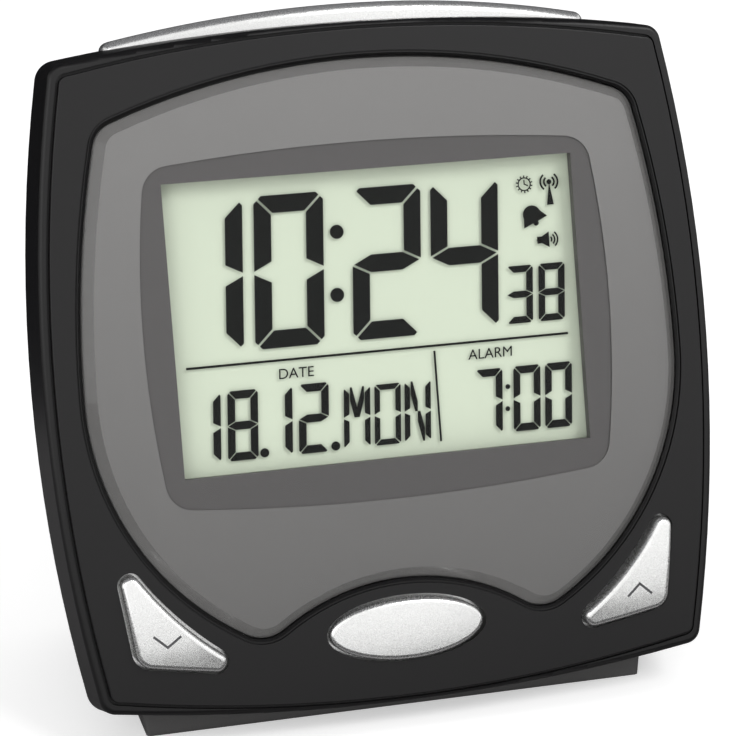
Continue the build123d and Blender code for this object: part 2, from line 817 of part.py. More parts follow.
# Places in the rear housing, above the table
bay_bottom = foot_height + bay_floor_rise
bay_height = 4 * cell_radius + 3 * cell_gap
bay_top = bay_bottom + bay_height
bay_middle = (bay_bottom + bay_top) / 2
bay_half_length = cell_length / 2 + contact_room
bay_depth = 2 * cell_radius + cell_gap + door_travel_room
bay_roof = bay_top + bay_wall
ceiling_v = housing_half_height + face_end_bow - housing_wall
ceiling_run = rear_y - housing_wall - face_y - ceiling_v * sin(tilt) - frame_depth * cos(tilt)
ceiling_run = ceiling_run / (cos(tilt) - tan(radians(housing_taper)) * sin(tilt))
ceiling_drop = ceiling_run * tan(radians(housing_taper))
rear_ceiling = face_z + (ceiling_v - ceiling_drop) * cos(tilt) - (ceiling_run + frame_depth) * sin(tilt)
collar_radius = (rear_ceiling - bay_roof) / 2 - collar_room
speaker_z = (rear_ceiling + bay_roof) / 2
speaker_radius = collar_radius - collar_width - speaker_gap
magnet_radius = speaker_radius * magnet_share
cone_radius = speaker_radius * cone_share
grille_radius = speaker_radius - grille_margin
grille_steps = int(grille_radius / grille_pitch)
speaker_screw_radius = speaker_radius + speaker_gap + collar_width / 2
cell_y = rear_y - door_thick - door_travel_room - cell_radius
lower_cell_z = bay_bottom + cell_gap + cell_radius
upper_cell_z = bay_top - cell_gap - cell_radius
rod_y = rear_y - rod_depth
rod_z = bay_roof + rod_radius + coil_wall + rod_lift
control_column = collar_radius + control_gap + (slider_base + slider_travel) / 2
control_rows = [speaker_z + step * control_pitch for step in (-2, -1, 0, 1, 2)]
control_posts = [(control_column, control_rows[0]), (control_column, control_rows[4])]
time_key_at = (control_column, control_rows[1])
signal_key_at = (control_column, control_rows[2])
slider_at = (control_column, control_rows[3])
control_stem_end = -(housing_wall + key_flange + key_stem)
control_can_top = control_stem_end - key_travel - switch_room
control_front = control_can_top - switch_height
door_half_width = bay_half_length + door_ledge
door_half_height = bay_height / 2 + door_ledge
speaker_screw_places = [
    (speaker_screw_radius * sin(radians(turn)), speaker_z + speaker_screw_radius * cos(radians(turn)))
    for turn in (60, 180, 300)
]
well_seat = board_back - screw_seat


# A tapered shell form, cut to the upright rear wall and the level floor
def housing_form(inset, back_inset, floor_z):
    with BuildPart() as form:
        with BuildSketch(face.offset(-frame_depth)):
            add(grown(housing_front, -inset))
        with BuildSketch(face.offset(-housing_back_depth)):
            add(grown(housing_back, -inset))
        loft(ruled=True)
        split(bisect_by=rear.offset(-back_inset), keep=Keep.BOTTOM)
        split(bisect_by=Plane.XY.offset(floor_z), keep=Keep.TOP)
    return form.part


housing_front = bowed_box(
    housing_half_width,
    -housing_half_height,
    housing_half_height,
    face_side_bow,
    face_end_bow,
    housing_corner,
)
housing_back = bowed_box(
    housing_half_width - housing_shrink,
    -housing_half_height + housing_shrink,
    housing_half_height - housing_shrink,
    face_side_bow,
    face_end_bow,
    housing_corner,
)
housing_outside = housing_form(0, 0, foot_height)
housing_inside = housing_form(housing_wall, housing_wall, foot_height + housing_wall)

# Posts for the case screws, from the board to the rear wall
with BuildPart() as case_posts:
    with BuildSketch(face.offset(board_back)):
        with Locations(*upper_screws):
            Circle(post_radius)
    extrude(amount=-foot_depth)
    split(bisect_by=rear.offset(-housing_wall / 2), keep=Keep.BOTTOM)

# Rear housing: shell, lip, battery bay, loudspeaker collar, posts and openings
with BuildPart() as rear_housing:
    add(housing_outside)
    rear_edges = rear_housing.faces().sort_by(Axis.Y)[-1].edges()
    fillet(rear_edges.filter_by(lambda edge: edge.center().Z > bay_bottom), housing_round)
    add(housing_inside, mode=Mode.SUBTRACT)
    with BuildSketch(face.offset(-frame_depth - lip_root)):
        add(grown(rim_outline, -frame_wall - lip_gap))
        add(grown(rim_outline, -frame_wall - lip_gap - lip_wall), mode=Mode.SUBTRACT)
    extrude(amount=lip_root + lip_length)
    split(bisect_by=Plane.XY.offset(foot_height), keep=Keep.TOP)
    add(case_posts.part)
    with BuildSketch(face.offset(board_back)):
        with Locations(*upper_screws):
            Circle(screw_radius + screw_gap)
    extrude(amount=-screw_seat, mode=Mode.SUBTRACT)
    with BuildSketch(face.offset(well_seat)):
        with Locations(*upper_screws):
            Circle(screw_head_radius + screw_gap)
    extrude(amount=-foot_depth, mode=Mode.SUBTRACT)
    with BuildSketch(across(hook_bottom)):
        add(grown(bar_outline, bar_gap))
    extrude(amount=bar_top, mode=Mode.SUBTRACT)
    with BuildSketch(Plane.XY.offset(foot_height)):
        with Locations(*foot_screw_places):
            Circle(post_radius)
    extrude(amount=foot_screw_boss)
    with BuildSketch(Plane.XY.offset(foot_height)):
        with Locations(*foot_screw_places):
            Circle(pilot_radius)
    extrude(amount=foot_screw_boss - housing_wall / 2, mode=Mode.SUBTRACT)
    with BuildSketch(rear_inside):
        with Locations((0, bay_middle)):
            Rectangle(2 * (bay_half_length + bay_wall), bay_height + 2 * bay_wall)
    extrude(amount=-bay_depth - bay_wall)
    with BuildSketch(rear_inside):
        with Locations((0, bay_middle)):
            Rectangle(2 * bay_half_length, bay_height)
    extrude(amount=-bay_depth, mode=Mode.SUBTRACT)
    with BuildSketch(rear_inside):
        with Locations((0, bay_middle)):
            RectangleRounded(
                2 * (door_half_width + door_gap), 2 * (door_half_height + door_gap), door_corner
            )
    extrude(amount=housing_wall, mode=Mode.SUBTRACT)
    with BuildSketch(rear.offset(-finger_depth)):
        with Locations((0, bay_middle + door_half_height)):
            SlotOverall(finger_width, finger_height)
    extrude(amount=finger_depth, mode=Mode.SUBTRACT)
    with BuildSketch(rear_inside):
        with Locations((0, speaker_z)):
            Circle(collar_radius)
            Circle(speaker_radius + speaker_gap, mode=Mode.SUBTRACT)
    extrude(amount=-speaker_flange)
    with BuildSketch(rear_inside.offset(-speaker_flange)):
        with Locations(*speaker_screw_places):
            Circle(speaker_pilot)
    extrude(amount=speaker_flange + housing_wall / 2, mode=Mode.SUBTRACT)
    with BuildSketch(rear_inside):
        with Locations((0, speaker_z)):
            for step in range(-grille_steps, grille_steps + 1):
                with Locations((0, step * grille_pitch)):
                    half_slot = sqrt(grille_radius**2 - (step * grille_pitch)**2)
                    SlotOverall(2 * half_slot, grille_slot)
    extrude(amount=housing_wall, mode=Mode.SUBTRACT)
    with BuildSketch(Plane.XY.offset(bay_roof)):
        with Locations((-saddle_spacing, rod_y), (saddle_spacing, rod_y)):
            Rectangle(saddle_width, 2 * (rod_radius + saddle_wall))
    extrude(amount=rod_z - bay_roof + saddle_grip)
    with BuildSketch(Plane(origin=(-rod_length / 2, rod_y, rod_z), z_dir=(1, 0, 0))):
        Circle(rod_radius + rod_gap)
    extrude(amount=rod_length, mode=Mode.SUBTRACT)
    with BuildSketch(rear_inside):
        with Locations(*control_posts):
            Circle(control_post_radius)
    extrude(amount=control_front + housing_wall)
    with BuildSketch(rear.offset(control_front)):
        with Locations(*control_posts):
            Circle(pilot_radius)
    extrude(amount=-control_front - housing_wall, mode=Mode.SUBTRACT)
    with BuildSketch(rear_inside):
        with Locations(time_key_at, signal_key_at):
            Circle(control_key_radius + key_gap)
        with Locations(slider_at):
            Rectangle(slider_width + slider_travel + 2 * slider_gap, slider_height + 2 * slider_gap)
    extrude(amount=housing_wall, mode=Mode.SUBTRACT)
pieces["rear_housing"] = rear_housing.part

# Foot: a flat plate with sloping ends and front
foot_top_half_width = foot_half_width + foot_height * tan(radians(foot_flare))
foot_top_depth = foot_depth - foot_height * tan(tilt)
with BuildPart() as base_foot:
    with BuildSketch(Plane.XY):
        RectangleRounded(2 * foot_half_width, foot_depth, foot_corner)
    with BuildSketch(Plane.XY.offset(foot_height)):
        with Locations((0, (foot_depth - foot_top_depth) / 2)):
            RectangleRounded(2 * foot_top_half_width, foot_top_depth, foot_corner)
    loft(ruled=True)
    with BuildSketch(Plane.XY):
        with Locations(*foot_screw_places):
            Circle(screw_head_radius + screw_gap)
    extrude(amount=foot_recess, mode=Mode.SUBTRACT)
    with BuildSketch(Plane.XY):
        with Locations(*foot_screw_places):
            Circle(screw_radius + screw_gap)
    extrude(amount=foot_height, mode=Mode.SUBTRACT)
pieces["base_foot"] = base_foot.part

# Screws: foot, case, board, loudspeaker ring and control board
foot_screw_plane = Plane(origin=(0, 0, foot_recess), x_dir=(1, 0, 0), z_dir=(0, 0, -1))
foot_screw_length = foot_height - foot_recess + foot_screw_boss - housing_wall
foot_heads = [(x, -y) for x, y in foot_screw_places]
pieces["foot_screws"] = screws(foot_screw_plane, foot_heads, foot_screw_length)
inward = Plane(origin=face.origin, x_dir=(1, 0, 0), z_dir=(0, cos(tilt), -sin(tilt)))
case_screw_length = screw_seat + board + pilot_depth - pilot_room
case_heads = [(x, -y) for x, y in upper_screws]
pieces["case_screws"] = screws(inward.offset(-well_seat), case_heads, case_screw_length)
board_screw_length = board + pilot_depth - pilot_room
board_heads = [(x, -y) for x, y in lower_screws]
pieces["board_screws"] = screws(inward.offset(-board_back), board_heads, board_screw_length)
ring_back_y = rear_y - housing_wall - speaker_flange - ring_thick
ring_screw_plane = Plane(origin=(0, ring_back_y, 0), x_dir=(1, 0, 0), z_dir=(0, -1, 0))
with BuildPart() as speaker_screws:
    with BuildSketch(ring_screw_plane):
        with Locations(*[(-x, z) for x, z in speaker_screw_places]):
            Circle(speaker_screw_head)
    extrude(amount=speaker_screw_head / 2)
    with BuildSketch(ring_screw_plane):
        with Locations(*[(-x, z) for x, z in speaker_screw_places]):
            Circle(speaker_pilot)
    extrude(amount=-ring_thick - speaker_flange)
pieces["speaker_screws"] = speaker_screws.part
control_back_y = rear_y + control_front - board
control_screw_plane = Plane(origin=(0, control_back_y, 0), x_dir=(1, 0, 0), z_dir=(0, -1, 0))
control_screw_length = board - control_front - housing_wall - pilot_room
control_heads = [(-x, z) for x, z in control_posts]
pieces["control_screws"] = screws(control_screw_plane, control_heads, control_screw_length)

# Loudspeaker: pressed basket, magnet, paper cone with its coil, clamping ring
speaker_plane = Plane(origin=(0, rear_y - housing_wall, speaker_z), x_dir=(1, 0, 0), z_dir=(0, 0, 1))
speaker_axis = Axis((0, rear_y - housing_wall, speaker_z), (0, 1, 0))
basket_front = cone_radius + speaker_gap
basket_back = magnet_radius + basket_wall
basket_depth = speaker_depth - magnet_height
basket_bore = coil_radius + cone_wall + basket_wall
coil_end = basket_wall - basket_depth
with BuildPart() as speaker_basket:
    with BuildSketch(speaker_plane):
        with BuildLine():
            Polyline(
                (basket_front, 0),
                (speaker_radius, 0),
                (speaker_radius, -speaker_flange),
                (basket_front + basket_wall, -speaker_flange),
                (basket_back + basket_wall, -basket_depth + basket_wall),
                (basket_back + basket_wall, -basket_depth),
                (basket_bore, -basket_depth),
                (basket_bore, -basket_depth + basket_wall),
                (basket_back, -basket_depth + basket_wall),
                (basket_front, -speaker_flange),
                close=True,
            )
        make_face()
    revolve(axis=speaker_axis)
pieces["speaker_basket"] = speaker_basket.part
with BuildPart() as speaker_magnet:
    with BuildSketch(rear_inside.offset(-basket_depth)):
        with Locations((0, speaker_z)):
            Circle(magnet_radius)
    extrude(amount=-magnet_height)
    fillet(speaker_magnet.edges().group_by(Axis.Y)[0], magnet_round)
pieces["speaker_magnet"] = speaker_magnet.part
with BuildPart() as speaker_cone:
    with BuildSketch(speaker_plane):
        with BuildLine():
            Polyline(
                (0, -cap_depth),
                (coil_radius * cap_share, -cap_depth - cone_wall),
                (coil_radius, -cone_depth),
                (cone_radius - cone_roll, -cone_edge),
                (cone_radius - cone_roll / 2, -cone_front),
                (cone_radius, -cone_edge),
                (cone_radius, -cone_edge - cone_wall),
                (cone_radius - cone_roll / 2, -cone_front - cone_wall),
                (cone_radius - cone_roll, -cone_edge - cone_wall),
                (coil_radius + cone_wall, -cone_depth - cone_wall),
                (coil_radius + cone_wall, coil_end),
                (coil_radius, coil_end),
                (coil_radius, -cone_depth - cone_wall),
                (coil_radius * cap_share, -cap_depth - 2 * cone_wall),
                (0, -cap_depth - cone_wall),
                close=True,
            )
        make_face()
    revolve(axis=speaker_axis)
pieces["speaker_cone"] = speaker_cone.part
with BuildPart() as speaker_ring:
    with BuildSketch(rear_inside.offset(-speaker_flange)):
        with Locations((0, speaker_z)):
            Circle(collar_radius - ring_gap)
            Circle(basket_front + basket_wall + speaker_gap, mode=Mode.SUBTRACT)
        with Locations(*speaker_screw_places):
            Circle(speaker_pilot, mode=Mode.SUBTRACT)
    extrude(amount=-ring_thick)
pieces["speaker_ring"] = speaker_ring.part

# Two cells side by side, facing opposite ways
cell_body = cell_length - cell_nub
with BuildPart() as battery_cells:
    for way, cell_z in ((1, lower_cell_z), (-1, upper_cell_z)):
        with BuildSketch(Plane(origin=(-way * cell_length / 2, cell_y, cell_z), z_dir=(way, 0, 0))):
            Circle(cell_radius)
        extrude(amount=cell_body)
        nub_at = (way * (cell_length / 2 - cell_nub), cell_y, cell_z)
        with BuildSketch(Plane(origin=nub_at, z_dir=(way, 0, 0))):
            Circle(cell_nub_radius)
        extrude(amount=cell_nub)
    rims = battery_cells.edges().filter_by(GeomType.CIRCLE)
    fillet(rims.filter_by(lambda edge: edge.radius > cell_nub_radius + cell_edge), cell_edge)
pieces["battery_cells"] = battery_cells.part


# Contact plates at one end of the bay, each with a sprung dimple against its cell
def contacts(way, plates):
    with BuildPart() as group:
        end = Plane(origin=(way * bay_half_length, cell_y, 0), x_dir=(0, -way, 0), z_dir=(-way, 0, 0))
        for middle, height in plates:
            with BuildSketch(end):
                with Locations((0, middle)):
                    Rectangle(contact_width, height)
            extrude(amount=contact_strip)
        for cell_z in (lower_cell_z, upper_cell_z):
            with BuildSketch(end.offset(contact_strip)):
                with Locations((0, cell_z)):
                    Circle(contact_width * spring_share)
            with BuildSketch(end.offset(contact_room)):
                with Locations((0, cell_z)):
                    Circle(contact_width * spring_tip_share)
            loft(ruled=True)
    return group.part


bridge_height = upper_cell_z - lower_cell_z + contact_height
pieces["battery_bridge"] = contacts(-1, [(bay_middle, bridge_height)])
terminal_plates = [(lower_cell_z, contact_height), (upper_cell_z, contact_height)]
pieces["battery_terminals"] = contacts(1, terminal_plates)

# Battery door: flush plate with grip grooves, two tongues below and one above
with BuildPart() as battery_door:
    with BuildSketch(rear_inside):
        with Locations((0, bay_middle)):
            RectangleRounded(2 * door_half_width, 2 * door_half_height, door_corner)
    extrude(amount=door_thick)
    with BuildSketch(rear_inside):
        with Locations((-door_half_width / 2, bay_bottom + door_gap + tongue_thick / 2)):
            Rectangle(tongue_width, tongue_thick)
        with Locations((door_half_width / 2, bay_bottom + door_gap + tongue_thick / 2)):
            Rectangle(tongue_width, tongue_thick)
        with Locations((0, bay_top - door_gap - tongue_thick / 2)):
            Rectangle(tongue_width, tongue_thick)
    extrude(amount=-tongue_length)
    with BuildSketch(rear.offset(-grip_depth)):
        for step in range(grip_ribs):
            with Locations((0, bay_middle + door_half_height - (step + 2) * grip_pitch)):
                SlotOverall(finger_width, grip_pitch / 2)
    extrude(amount=grip_depth, mode=Mode.SUBTRACT)
pieces["battery_door"] = battery_door.part

# Aerial: ferrite rod with a coil in the middle
with BuildPart() as ferrite_rod:
    with BuildSketch(Plane(origin=(-rod_length / 2, rod_y, rod_z), z_dir=(1, 0, 0))):
        Circle(rod_radius)
    extrude(amount=rod_length)
pieces["ferrite_rod"] = ferrite_rod.part
with BuildPart() as antenna_coil:
    with BuildSketch(Plane(origin=(-coil_length / 2, rod_y, rod_z), z_dir=(1, 0, 0))):
        Circle(rod_radius + coil_wall)
        Circle(rod_radius, mode=Mode.SUBTRACT)
    extrude(amount=coil_length)
pieces["antenna_coil"] = antenna_coil.part

# Control board behind the rear controls
control_height = 4 * control_pitch + 2 * control_post_radius
with BuildPart() as control_board:
    with BuildSketch(rear.offset(control_front)):
        with Locations((control_column, speaker_z)):
            RectangleRounded(control_width, control_height, control_corner)
        with Locations(*control_posts):
            Circle(pilot_radius + screw_gap, mode=Mode.SUBTRACT)
    extrude(amount=-board)
pieces["control_board"] = control_board.part
control_places = [time_key_at, signal_key_at]
control_plane = rear.offset(control_front)
pieces["control_switch_cans"] = switch_cans(control_plane, control_places, switch_height, bore_depth)


# A round rear key: cap through the wall, flange inside, stem on its switch
def rear_key(place):
    with BuildPart() as key:
        with BuildSketch(rear_inside):
            with Locations(place):
                Circle(control_key_radius)
        extrude(amount=housing_wall + control_proud)
        fillet(key.edges().group_by(Axis.Y)[-1], control_round)
        with BuildSketch(rear_inside):
            with Locations(place):
                Circle(control_key_radius + key_gap + control_flange)
        extrude(amount=-key_flange)
        with BuildSketch(rear_inside.offset(-key_flange)):
            with Locations(place):
                Circle(stem_radius)
        extrude(amount=-key_stem)
    return key.part


pieces["time_key"] = rear_key(time_key_at)
pieces["signal_key"] = rear_key(signal_key_at)
pieces["time_plunger"] = plungers(rear.offset(control_stem_end), [time_key_at])
pieces["signal_plunger"] = plungers(rear.offset(control_stem_end), [signal_key_at])

# Alarm switch: can on the control board, slider in its slot, at one end of its travel
slider_rest = (slider_at[0] - slider_travel / 2, slider_at[1])
slide_can_tall = -control_front - housing_wall - key_flange - slider_gap
leg_reach = key_flange + slider_gap + slider_reach
with BuildPart() as slide_switch_can:
    with BuildSketch(rear.offset(control_front)):
        with Locations(slider_at):
            Rectangle(slide_can_width, slide_can_height)
    extrude(amount=slide_can_tall)
    with BuildSketch(rear.offset(control_front + slide_can_tall)):
        with Locations(slider_at):
            Rectangle(slider_leg + slider_travel + 2 * slider_gap, slider_leg + 2 * slider_gap)
    extrude(amount=-slider_reach - slider_gap, mode=Mode.SUBTRACT)
pieces["slide_switch_can"] = slide_switch_can.part
with BuildPart() as alarm_slider:
    with BuildSketch(rear_inside):
        with Locations(slider_rest):
            Rectangle(slider_width, slider_height)
    extrude(amount=housing_wall + control_proud)
    with BuildSketch(rear_inside):
        with Locations(slider_rest):
            Rectangle(slider_base, slider_base_height)
    extrude(amount=-key_flange)
    with BuildSketch(rear_inside):
        with Locations(slider_rest):
            Rectangle(slider_leg, slider_leg)
    extrude(amount=-leg_reach)
    with BuildSketch(rear.offset(control_proud)):
        with Locations(slider_rest):
            Rectangle(slider_width / 3, slider_height)
    extrude(amount=-control_proud / 2, mode=Mode.SUBTRACT)
pieces["alarm_slider"] = alarm_slider.part

for name, part in pieces.items():
    part.label = name
    export_step(part, f"parts/{name}.step")
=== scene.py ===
import bpy
from math import cos, radians, sin
from mathutils import Matrix, Vector


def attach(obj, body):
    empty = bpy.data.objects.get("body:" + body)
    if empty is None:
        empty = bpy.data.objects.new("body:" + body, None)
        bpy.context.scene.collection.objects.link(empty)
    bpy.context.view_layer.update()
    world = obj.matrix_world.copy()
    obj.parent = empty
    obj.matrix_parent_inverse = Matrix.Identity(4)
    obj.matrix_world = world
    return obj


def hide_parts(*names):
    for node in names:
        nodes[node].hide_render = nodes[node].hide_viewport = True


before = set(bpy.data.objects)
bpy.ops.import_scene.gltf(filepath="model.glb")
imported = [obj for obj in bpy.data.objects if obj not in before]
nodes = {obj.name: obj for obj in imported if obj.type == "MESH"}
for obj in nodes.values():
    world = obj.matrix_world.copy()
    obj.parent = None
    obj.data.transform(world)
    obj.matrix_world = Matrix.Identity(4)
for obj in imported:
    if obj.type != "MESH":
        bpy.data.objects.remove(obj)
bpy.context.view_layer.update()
bpy.ops.object.select_all(action="DESELECT")
print("frame loaded,", len(nodes), "nodes")

# The leaning face: u across, v up the face, w out of it, all in millimetres
milli = 0.001
faceFrame = {"lean": 15.0, "lensProud": 1.2, "windowMiddle": 7.075, "inPlane": 0.9995}
lean = radians(faceFrame["lean"])
faceUp = Vector((0, sin(lean), cos(lean)))
faceOut = Vector((0, -cos(lean), sin(lean)))


def reachAlong(node, way):
    spots = [way.dot(corner.co) for corner in nodes[node].data.vertices]
    return min(spots), max(spots)


lensFront = reachAlong("display_lens", faceOut)[1]
glassReach = reachAlong("lcd_rear_glass", faceUp)
faceOrigin = faceOut * (lensFront - faceFrame["lensProud"] * milli)
faceOrigin += faceUp * (sum(glassReach) / 2 - faceFrame["windowMiddle"] * milli)
faceTurn = Matrix((Vector((1, 0, 0)), faceUp, faceOut)).transposed().to_4x4()
faceMatrix = Matrix.Translation(faceOrigin) @ faceTurn @ Matrix.Scale(milli, 4)


# Modelling helpers, with the number of sides of what is round
sides = {"disc": 24, "ring": 28, "arc": 36, "dot": 28, "horn": 3}


def selectOnly(*pieces):
    bpy.ops.object.select_all(action="DESELECT")
    for piece in pieces:
        piece.select_set(True)
    bpy.context.view_layer.objects.active = pieces[0]


def newPlate(name, width, height, middle=(0, 0)):
    bpy.ops.object.select_all(action="DESELECT")
    bpy.ops.mesh.primitive_plane_add(size=1, location=(0, 0, 0))
    plate = bpy.context.active_object
    plate.name = name
    bpy.ops.object.mode_set(mode="EDIT")
    bpy.ops.transform.resize(value=(width, height, 1))
    bpy.ops.transform.translate(value=(*middle, 0))
    bpy.ops.object.mode_set(mode="OBJECT")
    return plate


def newDisc(name, radius, kind="disc"):
    bpy.ops.object.select_all(action="DESELECT")
    bpy.ops.mesh.primitive_circle_add(
        vertices=sides[kind], radius=radius, fill_type="NGON", location=(0, 0, 0)
    )
    disc = bpy.context.active_object
    disc.name = name
    return disc


def newRing(name, radius, thick, kind="ring"):
    ring = newDisc(name, radius, kind)
    bpy.ops.object.mode_set(mode="EDIT")
    bpy.ops.mesh.select_all(action="SELECT")
    bpy.ops.mesh.inset(thickness=thick)
    bpy.ops.mesh.delete(type="FACE")
    bpy.ops.object.mode_set(mode="OBJECT")
    return ring


# Cuts away what lies past a line, on the side that its normal points to
def trim(plate, point, normal):
    selectOnly(plate)
    bpy.ops.object.mode_set(mode="EDIT")
    bpy.ops.mesh.select_all(action="SELECT")
    way = Vector((*normal, 0)).normalized()
    bpy.ops.mesh.bisect(plane_co=(*point, 0), plane_no=way, clear_outer=True)
    bpy.ops.object.mode_set(mode="OBJECT")


# A copy with its own mesh, moved by a matrix
def placeCopy(master, matrix):
    copy = master.copy()
    copy.data = master.data.copy()
    copy.data.transform(matrix)
    bpy.context.collection.objects.link(copy)
    return copy


def joinAll(name, pieces):
    selectOnly(*pieces)
    bpy.ops.object.join()
    whole = bpy.context.active_object
    whole.name = name
    return whole


def applyModifier(piece, kind, **values):
    selectOnly(piece)
    modifier = piece.modifiers.new(kind.lower(), kind)
    for key, value in values.items():
        setattr(modifier, key, value)
    bpy.ops.object.modifier_apply(modifier=modifier.name)


# Gives flat plates their thickness and turns every shell outwards
def thicken(piece, thick):
    applyModifier(piece, "SOLIDIFY", thickness=thick, offset=0.0)
    bpy.ops.object.mode_set(mode="EDIT")
    bpy.ops.mesh.select_all(action="SELECT")
    bpy.ops.mesh.normals_make_consistent(inside=False)
    bpy.ops.object.mode_set(mode="OBJECT")


def discard(*pieces):
    for piece in pieces:
        bpy.data.objects.remove(piece)


# Display segments, drawn in a cell one unit high: broad for figures, slim for letters
figureCell = {"width": 0.468, "thick": 0.116, "cut": 0.05, "gap": 0.011, "diagonal": 0.1, "point": 0.5}
letterCell = {"width": 0.448, "thick": 0.092, "cut": 0.04, "gap": 0.013, "diagonal": 0.085, "point": 0.5}


# The upper and left segments, and how each one is flipped to the other places
def makeSegments(cell):
    wide, thick, cut, gap, point = (cell[key] for key in ("width", "thick", "cut", "gap", "point"))
    middle = 1 / 2
    upper = (1 + middle) / 2
    topBar = newPlate("topBar", wide, thick, (wide / 2, 1 - thick / 2))
    trim(topBar, (gap, 1), (-1, -1))
    trim(topBar, (wide - gap, 1), (1, -1))
    trim(topBar, (cut, 1), (-1, 1))
    trim(topBar, (wide - cut, 1), (1, 1))
    side = newPlate("side", thick, middle, (thick / 2, upper))
    trim(side, (0, 1 - gap), (1, 1))
    trim(side, (cut, 1), (-1, 1))
    trim(side, (0, middle + gap), (point, -1))
    middleBar = newPlate("middleBar", wide, thick, (wide / 2, middle))
    for end, way in ((gap, -1), (wide - gap, 1)):
        trim(middleBar, (end, middle), (way * point, 1))
        trim(middleBar, (end, middle), (way * point, -1))
    run = wide / 2 - thick
    slash = newPlate("slash", run - gap, middle, (thick + run / 2 + gap / 2, upper))
    half = cell["diagonal"] / 2 * (middle**2 + run**2) ** 0.5 / middle
    for way in (-1, 1):
        trim(slash, (thick + run / 2 + way * half, upper), (way * middle, way * run))
    flipX = Matrix.Translation((wide, 0, 0)) @ Matrix.Scale(-1, 4, (1, 0, 0))
    flipY = Matrix.Translation((0, 1, 0)) @ Matrix.Scale(-1, 4, (0, 1, 0))
    still = Matrix.Identity(4)
    return {
        "a": (topBar, still), "d": (topBar, flipY), "g": (middleBar, still),
        "f": (side, still), "b": (side, flipX), "e": (side, flipY), "c": (side, flipX @ flipY),
        "m": (slash, still), "n": (slash, flipX), "o": (slash, flipX @ flipY),
    }


glyphs = {
    "0": "abcdef", "1": "bc", "2": "abged", "3": "abgcd", "4": "fgbc", "7": "abc", "8": "abcdefg",
    "O": "abcdef", "M": "febcmn", "N": "febcmo",
}

# What the display shows: rows of cells with the left edge of each cell, dots, rules and words
display = {
    "depth": -3.95,
    "slant": 0.067,
    "rows": [
        {
            "text": "1024", "low": 3.5, "high": 25.1, "wide": 10.1,
            "lefts": (-29.05, -17.3, -2.95, 8.65),
        },
        {"text": "38", "low": 3.8, "high": 12.12, "wide": 3.98, "lefts": (19.57, 24.42)},
        {
            "text": "1812", "low": -11.9, "high": -2.0, "wide": 4.4,
            "lefts": (-28.27, -22.88, -17.87, -12.54),
        },
        {"text": "MON", "low": -11.8, "high": -3.1, "wide": 3.9, "lefts": (-5.96, -1.42, 3.05)},
        {"text": "700", "low": -11.84, "high": -2.4, "wide": 4.1, "lefts": (13.7, 19.48, 24.29)},
    ],
    "dots": [
        (-4.91, 19.19, 1.0), (-5.54, 10.24, 1.0), (-17.87, -11.18, 0.65), (-7.47, -11.25, 0.65),
        (18.74, -5.22, 0.36), (18.5, -8.42, 0.36),
    ],
    "rules": [(0.15, 1.72, 56.6, 0.33), (8.13, -5.57, 0.3, 13.1)],
    "words": [("DATE", -15.1, -0.96, 2.1), ("ALARM", 13.1, -0.8, 2.1)],
    "thick": 0.00005,
}


def drawRow(row):
    tall = row["high"] - row["low"]
    cell = letterCell if row["text"].isalpha() else figureCell
    segments = makeSegments(cell)
    slanted = Matrix.Diagonal((row["wide"] / cell["width"], tall, 1, 1))
    slanted[0][1] = display["slant"] * tall
    slanted[0][3] = -display["slant"] * tall / 2
    drawn = []
    for sign, left in zip(row["text"], row["lefts"]):
        place = Matrix.Translation((left, row["low"], display["depth"]))
        for segment in glyphs[sign]:
            master, flip = segments[segment]
            drawn.append(placeCopy(master, faceMatrix @ place @ slanted @ flip))
    discard(*{master for master, flip in segments.values()})
    return drawn


def atFace(u, v, turn=0.0):
    turned = Matrix.Rotation(radians(turn), 4, "Z")
    return faceMatrix @ Matrix.Translation((u, v, display["depth"])) @ turned


def drawWord(body, left, low, size):
    bpy.ops.object.select_all(action="DESELECT")
    bpy.ops.object.text_add(location=(0, 0, 0))
    word = bpy.context.active_object
    word.data.body = body
    word.data.size = size
    word.data.shear = display["slant"]
    bpy.ops.object.convert(target="MESH")
    word = bpy.context.active_object
    word.data.transform(atFace(left, low))
    return word


# Four small signs beside the time: alarm clock, mast, bell and sounder
signs = {
    "clock": {
        "at": (23.42, 23.78), "radius": 1.0, "line": 0.17, "teeth": 14, "tooth": 0.26,
        "hand": 0.7, "turns": (0, -115),
    },
    "mast": {
        "at": (27.18, 23.86), "knob": 0.36, "tall": 3.3, "foot": 1.0, "line": 0.26,
        "arcs": (0.9, 1.45), "turns": (0, 180), "spread": 52,
    },
    "bell": {
        "at": (24.25, 19.3), "radius": 1.35, "skirt": 1.45, "drop": 1.2,
        "clapper": 0.4, "hang": 1.35, "turn": 24,
    },
    "sounder": {
        "at": (25.95, 15.55), "box": (0.6, 1.0), "boxAt": -0.85, "horn": 1.3, "hornTurn": 90,
        "line": 0.22, "arcs": (0.55, 1.0, 1.45), "arcsAt": 0.6, "spread": 48,
    },
}


def drawClockSign():
    values = signs["clock"]
    line, radius = values["line"], values["radius"]
    ring = newRing("ring", radius, line)
    tooth = newPlate("tooth", line, values["tooth"], (0, radius + values["tooth"] / 2))
    hand = newPlate("hand", line, values["hand"], (0, values["hand"] / 2 - line / 2))
    drawn = [placeCopy(ring, atFace(*values["at"]))]
    for turn in values["turns"]:
        drawn.append(placeCopy(hand, atFace(*values["at"], turn=turn)))
    for step in range(values["teeth"]):
        drawn.append(placeCopy(tooth, atFace(*values["at"], turn=360 / values["teeth"] * step)))
    discard(ring, tooth, hand)
    return drawn


def drawArc(at, radius, line, turn, spread):
    arc = newRing("arc", radius, line, "arc")
    for way in (-1, 1):
        trim(arc, (0, 0), (-sin(radians(spread)), way * cos(radians(spread))))
    placed = placeCopy(arc, atFace(*at, turn=turn))
    discard(arc)
    return placed


